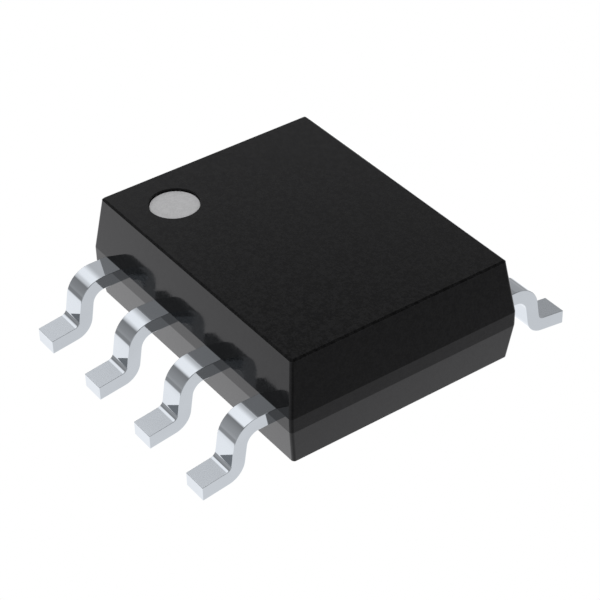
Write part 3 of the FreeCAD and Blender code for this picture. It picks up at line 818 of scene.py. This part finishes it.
def hole_tunnel(points, outline, sidestep):
    """Four rings down through the finger: outline and circle above, circle and outline below.

    A point of the circle is its middle plus the radius along the spoke to the outline point.
    """
    upper_edge = points[outline[:, 0], outline[:, 1]]
    lower_edge = points[outline[:, 0], OPPOSITE - outline[:, 1]]
    centre = np.array([sidestep * HOLE_SIDESTEP_SHARE, FLARE_END])
    spoke = upper_edge[:, :2] - centre
    circle = centre + HOLE_DIAMETER / 2 * spoke / np.linalg.norm(spoke, axis=1, keepdims=True)
    upper_rim = np.column_stack([circle, np.full(len(circle), STRIP_TOP)])
    lower_rim = np.column_stack([circle, np.full(len(circle), STRIP_TOP - STRIP)])
    return np.stack([upper_edge, upper_rim, lower_rim, lower_edge])


print("hole:", HOLE_DIAMETER, "mm wide,", round(FLARE_END, 3), "mm from the package's middle line")

# %% [markdown]
# The whole strip is three sets of quads: the tube of stations without the hole's block, the
# tunnel, and a cap at each end. All leads are made on the far side and about their own middle.
# A lead for the near side is turned half round, which changes the signs of X and Y, and then
# each one moves to its place along the package.

# %% Whole strip
def end_caps(stations, loop):
    """Quads over both ends, between the points of the top and the ones under them."""
    caps = []
    for station in (0, stations - 1):
        top_row = station * loop + np.arange(ACROSS)
        bottom_row = station * loop + OPPOSITE - np.arange(ACROSS)
        caps.append(np.stack([top_row[:-1], top_row[1:], bottom_row[1:], bottom_row[:-1]], axis=-1))
    return np.concatenate(caps)


def lead_mesh(name, tip, sidestep, heading, lead_x):
    """Tube, tunnel and caps of one strip; the heading is 1, or -1 for one turned half round."""
    points, along = lead_points(tip, sidestep)
    stations, loop = points.shape[:2]
    first = int(np.argmin(np.abs(along - (FLARE_END - HOLE_HALF_SPAN))))
    rows = np.arange(first, first + HOLE_STEPS)
    columns = np.arange(HOLE_MARGIN, ACROSS - HOLE_MARGIN)
    keep = np.ones((stations - 1, loop), bool)
    keep[rows[0]:rows[-1], columns[0]:columns[-1]] = False
    keep[rows[0]:rows[-1], OPPOSITE - columns[-1]:OPPOSITE - columns[0]] = False
    tube_faces = ring_faces(stations, loop)[keep]
    tunnel = hole_tunnel(points, block_outline(rows, columns), sidestep)
    tunnel_faces = ring_faces(*tunnel.shape[:2]).reshape(-1, 4) + stations * loop
    quads = np.concatenate([tube_faces, tunnel_faces, end_caps(stations, loop)])
    all_points = np.concatenate([points.reshape(-1, 3), tunnel.reshape(-1, 3)])
    all_points = all_points * [heading, heading, 1.0] + [lead_x, 0.0, 0.0]
    return new_mesh(name, all_points, quads.tolist())


print("finger tips:", OUTER_TIP, "and", INNER_TIP, "mm from the package's middle line")

# %% [markdown]
# Pins 1 to 4 run along the near side from left to right, and 5 to 8 come back along the far
# side. Only the outer leads' fingers step aside, always towards the middle of the package.

# %% Eight leads
LEADS_PER_SIDE = 4
PINS = range(1, 2 * LEADS_PER_SIDE + 1)


def make_lead(number):
    """Lead by its pin number: columns count from the left on the near side, back on the far side."""
    column = (number - 1) % LEADS_PER_SIDE
    from_middle = PITCH * (column - (LEADS_PER_SIDE - 1) / 2)
    heading = -1.0 if number <= LEADS_PER_SIDE else 1.0
    outer = column in (0, LEADS_PER_SIDE - 1)
    tip = OUTER_TIP if outer else INNER_TIP
    sidestep = math.copysign(OUTER_SIDESTEP, from_middle) if outer else 0.0
    mesh = lead_mesh(f"lead_strip_{number}", tip, sidestep, heading, -heading * from_middle)
    return new_piece(f"lead_strip_{number}", mesh, bright_tin, "tin_plate", f"lead_{number}")


leads = [make_lead(number) for number in PINS]
print("leads:", len(leads), "with", len(leads[0].data.polygons), "faces each")

# %% [markdown]
# The moulding comes out of a two-part mould. Its walls lean in above and below an upright band
# at the parting plane. The outline is a rectangle with round corners, and the profile says how
# far in and how high that outline sits on its way from the bottom face to the top face.
#
# The mould's own edges are a little worn, so none of these is sharp. The creases beside the
# band are round. The top and bottom rims are so fine that one slanted facet stands for each.

# %% Profile of the moulding
RIM_STEPS = 1
CREASE_STEPS = 3


def rounded_profile(corners, radii, steps):
    """A polyline with its inner corners replaced by arcs that touch both neighbours.

    At each corner the arc's centre lies on the bisector, at radius over the sine of half the
    angle, and the arc turns from one side's normal to the other's.
    """
    pieces = [corners[:1]]
    turns = zip(corners[:-2], corners[1:-1], corners[2:], radii, steps)
    for before, corner, after, radius, count in turns:
        back_way = (before - corner) / np.linalg.norm(before - corner)
        on_way = (after - corner) / np.linalg.norm(after - corner)
        half_angle = math.acos(float(back_way @ on_way)) / 2
        reach = radius / math.tan(half_angle)
        middle = (back_way + on_way) / np.linalg.norm(back_way + on_way)
        centre = corner + middle * radius / math.sin(half_angle)
        start, end = corner + back_way * reach - centre, corner + on_way * reach - centre
        share = np.linspace(0, 1, count + 1)[:, None]
        swing = math.pi - 2 * half_angle
        arc = (np.sin((1 - share) * swing) * start + np.sin(share * swing) * end) / math.sin(swing)
        pieces.append(centre + arc)
    pieces.append(corners[-1:])
    return np.concatenate(pieces)


def moulding_profile():
    """Inset from the band's outline, and height, from the bottom face to the top face."""
    band_low, band_high = PARTING - BAND / 2, PARTING + BAND / 2
    low_inset = (band_low - STANDOFF) * math.tan(math.radians(LOWER_DRAFT))
    high_inset = (TOP - band_high) * math.tan(math.radians(UPPER_DRAFT))
    corners = np.array([
        (low_inset + 2 * RIM_ROUND, STANDOFF), (low_inset, STANDOFF), (0.0, band_low),
        (0.0, band_high), (high_inset, TOP), (high_inset + 2 * RIM_ROUND, TOP),
    ])
    radii = (RIM_ROUND, CREASE_ROUND, CREASE_ROUND, RIM_ROUND)
    steps = (RIM_STEPS, CREASE_STEPS, CREASE_STEPS, RIM_STEPS)
    return rounded_profile(corners, radii, steps), low_inset, high_inset


profile, low_inset, high_inset = moulding_profile()
print("profile points:", len(profile))
print("top face in mm:", round(LENGTH - 2 * high_inset, 3), "x", round(WIDTH - 2 * high_inset, 3))

# %% [markdown]
# The shell is that outline drawn once at each profile point, so it is a surface of two
# parameters: the way round the corners, and the way up the profile. A box with a Bevel modifier
# could come close, but corners, rims and creases each have a radius of their own, and an outline
# and a profile say that more plainly. Where the profile turns in over a face, the corner radius
# shrinks by as much, so that the corners stay evenly round.

# %% Shell of the moulding
CORNER_POINTS = 9
LEAST_ROUND = 0.004


def moulding_shell():
    """Rings of quarter circles about four inner corners, for every inset and height at once.

    A point is the inner corner plus the radius times the cosine and sine of its turn, and an
    inner corner is the half length and half width less the inset and less the radius.
    """
    inset, height = profile[:, 0], profile[:, 1]
    wall_inset = np.where(height < PARTING, low_inset, high_inset)
    radius = np.maximum(CORNER_ROUND - np.maximum(inset - wall_inset, 0.0), LEAST_ROUND)[:, None]
    quarters = np.repeat(np.arange(4), CORNER_POINTS)
    turn = np.tile(np.linspace(0, math.pi / 2, CORNER_POINTS), 4) + quarters * math.pi / 2
    sign_x, sign_y = np.array([(1, 1), (-1, 1), (-1, -1), (1, -1)])[quarters].T
    x = sign_x * (LENGTH / 2 - inset[:, None] - radius) + radius * np.cos(turn)
    y = sign_y * (WIDTH / 2 - inset[:, None] - radius) + radius * np.sin(turn)
    return np.stack([x, y, height[:, None] + 0 * turn], axis=-1)


shell = moulding_shell()
body_mesh = capped("moulded_body", shell)
print("shell:", shell.shape[0], "rings of", shell.shape[1], "points")

# %% [markdown]
# The pin-1 recess is cut by a turned tool: a disc with a rounded foot and a lip that flares out
# over the top face, so the recess gets a soft floor corner and a soft rim. A plain cylinder
# would leave both sharp, and a sharp rim catches no light.

# %% Recess tool
RECESS_RADIUS, RECESS_DEPTH = 0.37, 0.045
RECESS_INSET = 0.75
RECESS_ROUND = 0.008
ARC_POINTS = 4
TOOL_RISE = 0.05
TURN_STEPS = 128

recess_x = high_inset + RECESS_INSET - LENGTH / 2
recess_y = high_inset + RECESS_INSET - WIDTH / 2


def turned(outline):
    """An outline of radius and height, turned about the recess's axis by cosine and sine."""
    turn = np.linspace(0, 2 * math.pi, TURN_STEPS, endpoint=False)
    radius, height = outline[:, :1], outline[:, 1:]
    x, y = recess_x + radius * np.cos(turn), recess_y + radius * np.sin(turn)
    return np.stack([x, y, height + 0 * turn], axis=-1)


def recess_tool():
    """Foot arc, wall, and a lip arc that leaves the wall and lies down on the top face."""
    floor_height = TOP - RECESS_DEPTH
    foot = np.linspace(0, math.pi / 2, ARC_POINTS)
    foot_arc = np.stack([RECESS_RADIUS - RECESS_ROUND + RECESS_ROUND * np.sin(foot),
                         floor_height + RECESS_ROUND * (1 - np.cos(foot))], axis=-1)
    lip_arc = np.stack([RECESS_RADIUS + RECESS_ROUND * (1 - np.cos(foot)),
                        TOP - RECESS_ROUND + RECESS_ROUND * np.sin(foot)], axis=-1)
    above_top = np.array([[RECESS_RADIUS + RECESS_ROUND, TOP + TOOL_RISE]])
    return turned(np.concatenate([foot_arc, lip_arc, above_top]))


tool_mesh = capped("recess_tool", recess_tool())
print("recess at", round(recess_x, 3), round(recess_y, 3))

# %% [markdown]
# The compound flowed round everything inside it, so the moulding has a cavity exactly where
# each lead, the paddle, the glue, the die and the wires are. Cutting each of those pieces out
# of the shell with a Boolean says that in the plainest way.

# %% Cut the moulding
INSIDE = ["die_paddle", "die_attach", "die"] + [f"bond_wire_{number}" for number in PINS]


def merged_copy(node):
    """A node's mesh with its loose triangles joined, as a tool for cutting."""
    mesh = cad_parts[node].data.copy()
    work = bmesh.new()
    work.from_mesh(mesh)
    bmesh.ops.remove_doubles(work, verts=work.verts, dist=WELD)
    work.to_mesh(mesh)
    work.free()
    return mesh


def cut(mesh, tools):
    """The mesh less each tool in turn, by an exact Boolean that is applied at once."""
    work = bpy.data.objects.new("work", mesh)
    bpy.context.collection.objects.link(work)
    for tool in tools:
        holder = bpy.data.objects.new("tool", tool)
        bpy.context.collection.objects.link(holder)
        step = work.modifiers.new("cut", "BOOLEAN")
        step.operation = "DIFFERENCE"
        step.solver = "EXACT"
        step.object = holder
        graph = bpy.context.evaluated_depsgraph_get()
        result = bpy.data.meshes.new_from_object(work.evaluated_get(graph))
        work.modifiers.clear()
        work.data = result
        bpy.data.objects.remove(holder)
    made = work.data
    bpy.data.objects.remove(work)
    return made


tools = [tool_mesh] + [lead.data for lead in leads] + [merged_copy(node) for node in INSIDE]
body_cut = cut(body_mesh, tools)
moulding = new_piece("moulded_body", body_cut, black_epoxy, "moulding_compound", "mold_body")
print("moulding:", len(body_cut.polygons), "faces")

# %% [markdown]
# The dot of ink lies on the recess floor, just clear of the wall. It is a turned lens: a thin
# side, a rounded shoulder and an almost flat top that is a touch higher in the middle.

# %% Pin-1 dot
INK_THICKNESS, INK_CLEARANCE, INK_CROWN = 0.01, 0.004, 0.0015
INK_MIDDLE = 0.02
SHOULDER_POINTS, CROWN_POINTS = 6, 12


def ink_dot():
    """Rings from the underside's middle, out to the edge, round the shoulder and in to the top.

    The shoulder is a quarter circle. The crown rises by one less the square of the share of the
    radius.
    """
    base = TOP - RECESS_DEPTH
    edge = RECESS_RADIUS - RECESS_ROUND - INK_CLEARANCE
    shoulder = INK_THICKNESS - INK_CROWN
    turn = np.linspace(0, math.pi / 2, SHOULDER_POINTS)
    rim = np.stack([edge - shoulder + shoulder * np.cos(turn), base + shoulder * np.sin(turn)], axis=-1)
    share = np.linspace(1, INK_MIDDLE, CROWN_POINTS)
    rise = INK_CROWN * (1 - share ** 2)
    crown = np.stack([(edge - shoulder) * share, base + shoulder + rise], axis=-1)
    start = np.array([[edge * INK_MIDDLE, base]])
    return turned(np.concatenate([start, rim, crown[1:]]))


dot = new_piece("pin_one_dot", capped("pin_one_dot", ink_dot()), grey_ink, "mark_ink", "pin_one_mark")
print("dot:", len(dot.data.polygons), "faces")

# %% [markdown]
# Four finishes are left, for what the compound hides. They would show if the chip were opened:
# the rolled copper of the paddle, the silver-filled glue, the silicon and the gold wires. These
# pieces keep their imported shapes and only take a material.
#
# Rolling and wire drawing leave fine lines along the metal, so their grain is stretched that
# way. The glue is a paste of silver flakes, and each flake that lies flat at the surface shines.

# %% Copper, glue and gold
METAL_DRIFT, LINE_ROUGHNESS, LINE_DEPTH = 0.6, 0.05, 0.0001
FLAKE_SIZE, FLAKE_FLATNESS, FLAKE_DEPTH, FLAKE_METAL = 0.03, 3.0, 0.003, 0.9
PASTE_DRIFT, RESIN_ROUGHNESS, FLAKE_ROUGHNESS = 0.4, 0.55, 0.3
PASTE_DARK, PASTE_LIGHT, FLAKE_COLOUR = grey(0.42, 0.04), grey(0.5, 0.03), grey(0.78, 0.02)


def stretched(tree, where, factors):
    """Coordinates scaled by one factor for each axis, so that a pattern is drawn out."""
    node = add_node(tree, "ShaderNodeVectorMath", operation="MULTIPLY")
    feed(tree, node.inputs[0], where)
    feed(tree, node.inputs[1], factors)
    return node.outputs[0]


def make_drawn_metal(name, colour, dark, size, factors, least):
    """Metal with lines along its working direction, and a slow drift towards a darker tone."""
    material, tree, shader, where = new_finish(name)
    lines = effect(tree, GRAIN, stretched(tree, where, factors), Size=size)
    drift = effect(tree, CLOUDS, where, Size=METAL_DRIFT)["Drift"]
    feed(tree, shader.inputs["Base Color"], blend_colour(tree, drift, colour, dark))
    feed(tree, shader.inputs["Roughness"], raised_by(tree, lines["Speck"], least, LINE_ROUGHNESS))
    press_in(tree, shader, lines["Height"], LINE_DEPTH)
    shader.inputs["Metallic"].default_value = 1.0
    return material


def make_die_glue():
    """Cured paste of silver flakes: the flakes are metallic, the resin between them is not."""
    material, tree, shader, where = new_finish("silver_glue")
    flakes = effect(tree, GRAIN, stretched(tree, where, (1.0, 1.0, FLAKE_FLATNESS)), Size=FLAKE_SIZE)
    drift = effect(tree, CLOUDS, where, Size=PASTE_DRIFT)["Drift"]
    paste = blend_colour(tree, drift, PASTE_DARK, PASTE_LIGHT)
    feed(tree, shader.inputs["Base Color"], blend_colour(tree, flakes["Speck"], paste, FLAKE_COLOUR))
    feed(tree, shader.inputs["Metallic"], calc(tree, "MULTIPLY", flakes["Speck"], FLAKE_METAL))
    gloss = ease(tree, flakes["Speck"], 0.0, 1.0, RESIN_ROUGHNESS, FLAKE_ROUGHNESS)
    feed(tree, shader.inputs["Roughness"], gloss)
    press_in(tree, shader, flakes["Height"], FLAKE_DEPTH)
    return material


copper = make_drawn_metal("rolled_copper", (0.72, 0.42, 0.28, 1), (0.67, 0.38, 0.25, 1),
                          size=0.012, factors=(0.08, 1.0, 1.0), least=0.22)
gold = make_drawn_metal("drawn_gold", (0.90, 0.68, 0.28, 1), (0.84, 0.60, 0.22, 1),
                        size=0.008, factors=(1.0, 1.0, 0.3), least=0.14)
glue = make_die_glue()
print("finishes:", copper.name, gold.name, glue.name)

# %% [markdown]
# The top of the die shows its circuit as blocks in slightly different tints, because the clear
# layers over them are as thin as a soap film. The blocks are Voronoi cells measured along the
# axes, which gives them square edges, and fine rows of cells run through them.

# %% Circuit on the die
BLOCK_SIZE, BLOCK_TINTS = 0.26, ((0.08, 0.12, 0.20, 1), (0.25, 0.15, 0.22, 1))
CELL_TINT, CELL_SHARE = (0.30, 0.30, 0.26, 1), 0.35
CELL_ROWS = {"Scale": 1 / MM, "Brick Width": 0.045, "Row Height": 0.018, "Mortar Size": 0.0015,
             "Mortar": (0.05, 0.06, 0.09, 1)}


def circuit_colour(tree, where):
    """Tinted blocks, with rows of small cells through them."""
    flat = stretched(tree, where, (1.0, 1.0, 0.0))
    blocks = add_node(tree, "ShaderNodeTexVoronoi", distance="CHEBYCHEV")
    feed(tree, blocks.inputs["Vector"], flat)
    blocks.inputs["Scale"].default_value = 1 / (BLOCK_SIZE * MM)
    tint = blend_colour(tree, axes(tree, blocks.outputs["Color"])["X"], *BLOCK_TINTS)
    rows = add_node(tree, "ShaderNodeTexBrick")
    feed(tree, rows.inputs["Vector"], flat)
    feed(tree, rows.inputs["Color1"], tint)
    feed(tree, rows.inputs["Color2"], blend_colour(tree, CELL_SHARE, tint, CELL_TINT))
    for name, value in CELL_ROWS.items():
        rows.inputs[name].default_value = value
    return rows.outputs["Color"]


die_low, die_high = node_box("die")
print("die:", np.round(die_high - die_low, 3), "mm")

# %% [markdown]
# The die is sawn from a polished wafer, and its sides keep the saw's level lines. The bond pads
# are bare aluminium squares, and a ring of the same metal runs round the edge. Pads and ring
# are masks worked out from the distance to their middle lines.

# %% Silicon
PAD_SIZE, PAD_ROW, PAD_COLUMNS = 0.115, 0.45, (0.30, 0.62)
RING_INSET, RING_WIDTH = 0.025, 0.010
MASK_EDGE = 0.002
ALUMINIUM = (0.80, 0.80, 0.79, 1)
SAWN_TINTS = (0.14, 0.15, 0.17, 1), (0.22, 0.23, 0.25, 1)
SAW_SIZE, SAW_FACTORS, SAW_DEPTH = 0.012, (0.1, 0.1, 1.0), 0.002
SAWN_ROUGHNESS, POLISHED_ROUGHNESS = 0.5, 0.12
DIE_TOP_START, DIE_TOP_FULL = die_high[2] - 0.004, die_high[2] - 0.001


def stripe(tree, value, middle, width):
    """A mask that is 1 where value lies within half the width of the middle, both in millimetres."""
    away = calc(tree, "ABSOLUTE", calc(tree, "SUBTRACT", value, middle * MM))
    return ease(tree, away, (width / 2 + MASK_EDGE) * MM, (width / 2 - MASK_EDGE) * MM)


def make_silicon():
    """Sawn grey sides, and a top with tinted blocks, a ring and eight aluminium pads."""
    material, tree, shader, where = new_finish("sawn_silicon")
    place = axes(tree, where)
    across, along = calc(tree, "ABSOLUTE", place["X"]), calc(tree, "ABSOLUTE", place["Y"])
    on_top = ease(tree, place["Z"], DIE_TOP_START * MM, DIE_TOP_FULL * MM)
    columns = calc(tree, "MAXIMUM", *[stripe(tree, across, column, PAD_SIZE) for column in PAD_COLUMNS])
    pads = calc(tree, "MULTIPLY", columns, stripe(tree, along, PAD_ROW, PAD_SIZE))
    ring = calc(tree, "MAXIMUM", stripe(tree, across, die_high[0] - RING_INSET, RING_WIDTH),
                stripe(tree, along, die_high[1] - RING_INSET, RING_WIDTH))
    metal = calc(tree, "MULTIPLY", calc(tree, "MAXIMUM", pads, ring), on_top)
    saw = effect(tree, GRAIN, stretched(tree, where, SAW_FACTORS), Size=SAW_SIZE)
    sawn = blend_colour(tree, saw["Speck"], *SAWN_TINTS)
    face = blend_colour(tree, metal, circuit_colour(tree, where), ALUMINIUM)
    feed(tree, shader.inputs["Base Color"], blend_colour(tree, on_top, sawn, face))
    feed(tree, shader.inputs["Metallic"], metal)
    gloss = ease(tree, on_top, 0.0, 1.0, SAWN_ROUGHNESS, POLISHED_ROUGHNESS)
    feed(tree, shader.inputs["Roughness"], gloss)
    on_sides = calc(tree, "SUBTRACT", 1.0, on_top)
    press_in(tree, shader, calc(tree, "MULTIPLY", saw["Height"], on_sides), SAW_DEPTH)
    return material


silicon = make_silicon()
print("finish:", silicon.name, "with", 4 * len(PAD_COLUMNS), "pads")

# %% [markdown]
# The imported nodes' meshes stay as they are. Each of the eleven inner pieces gets the finish of what
# it is made of.

# %% Finish the inner pieces
inner_finish = {"die_paddle": copper, "die_attach": glue, "die": silicon}
inner_finish.update({f"bond_wire_{number}": gold for number in PINS})
for name, material in inner_finish.items():
    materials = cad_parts[name].data.materials
    materials.clear()
    materials.append(material)
print("inner pieces:", ", ".join(f"{name} {material.name}" for name, material in inner_finish.items()))
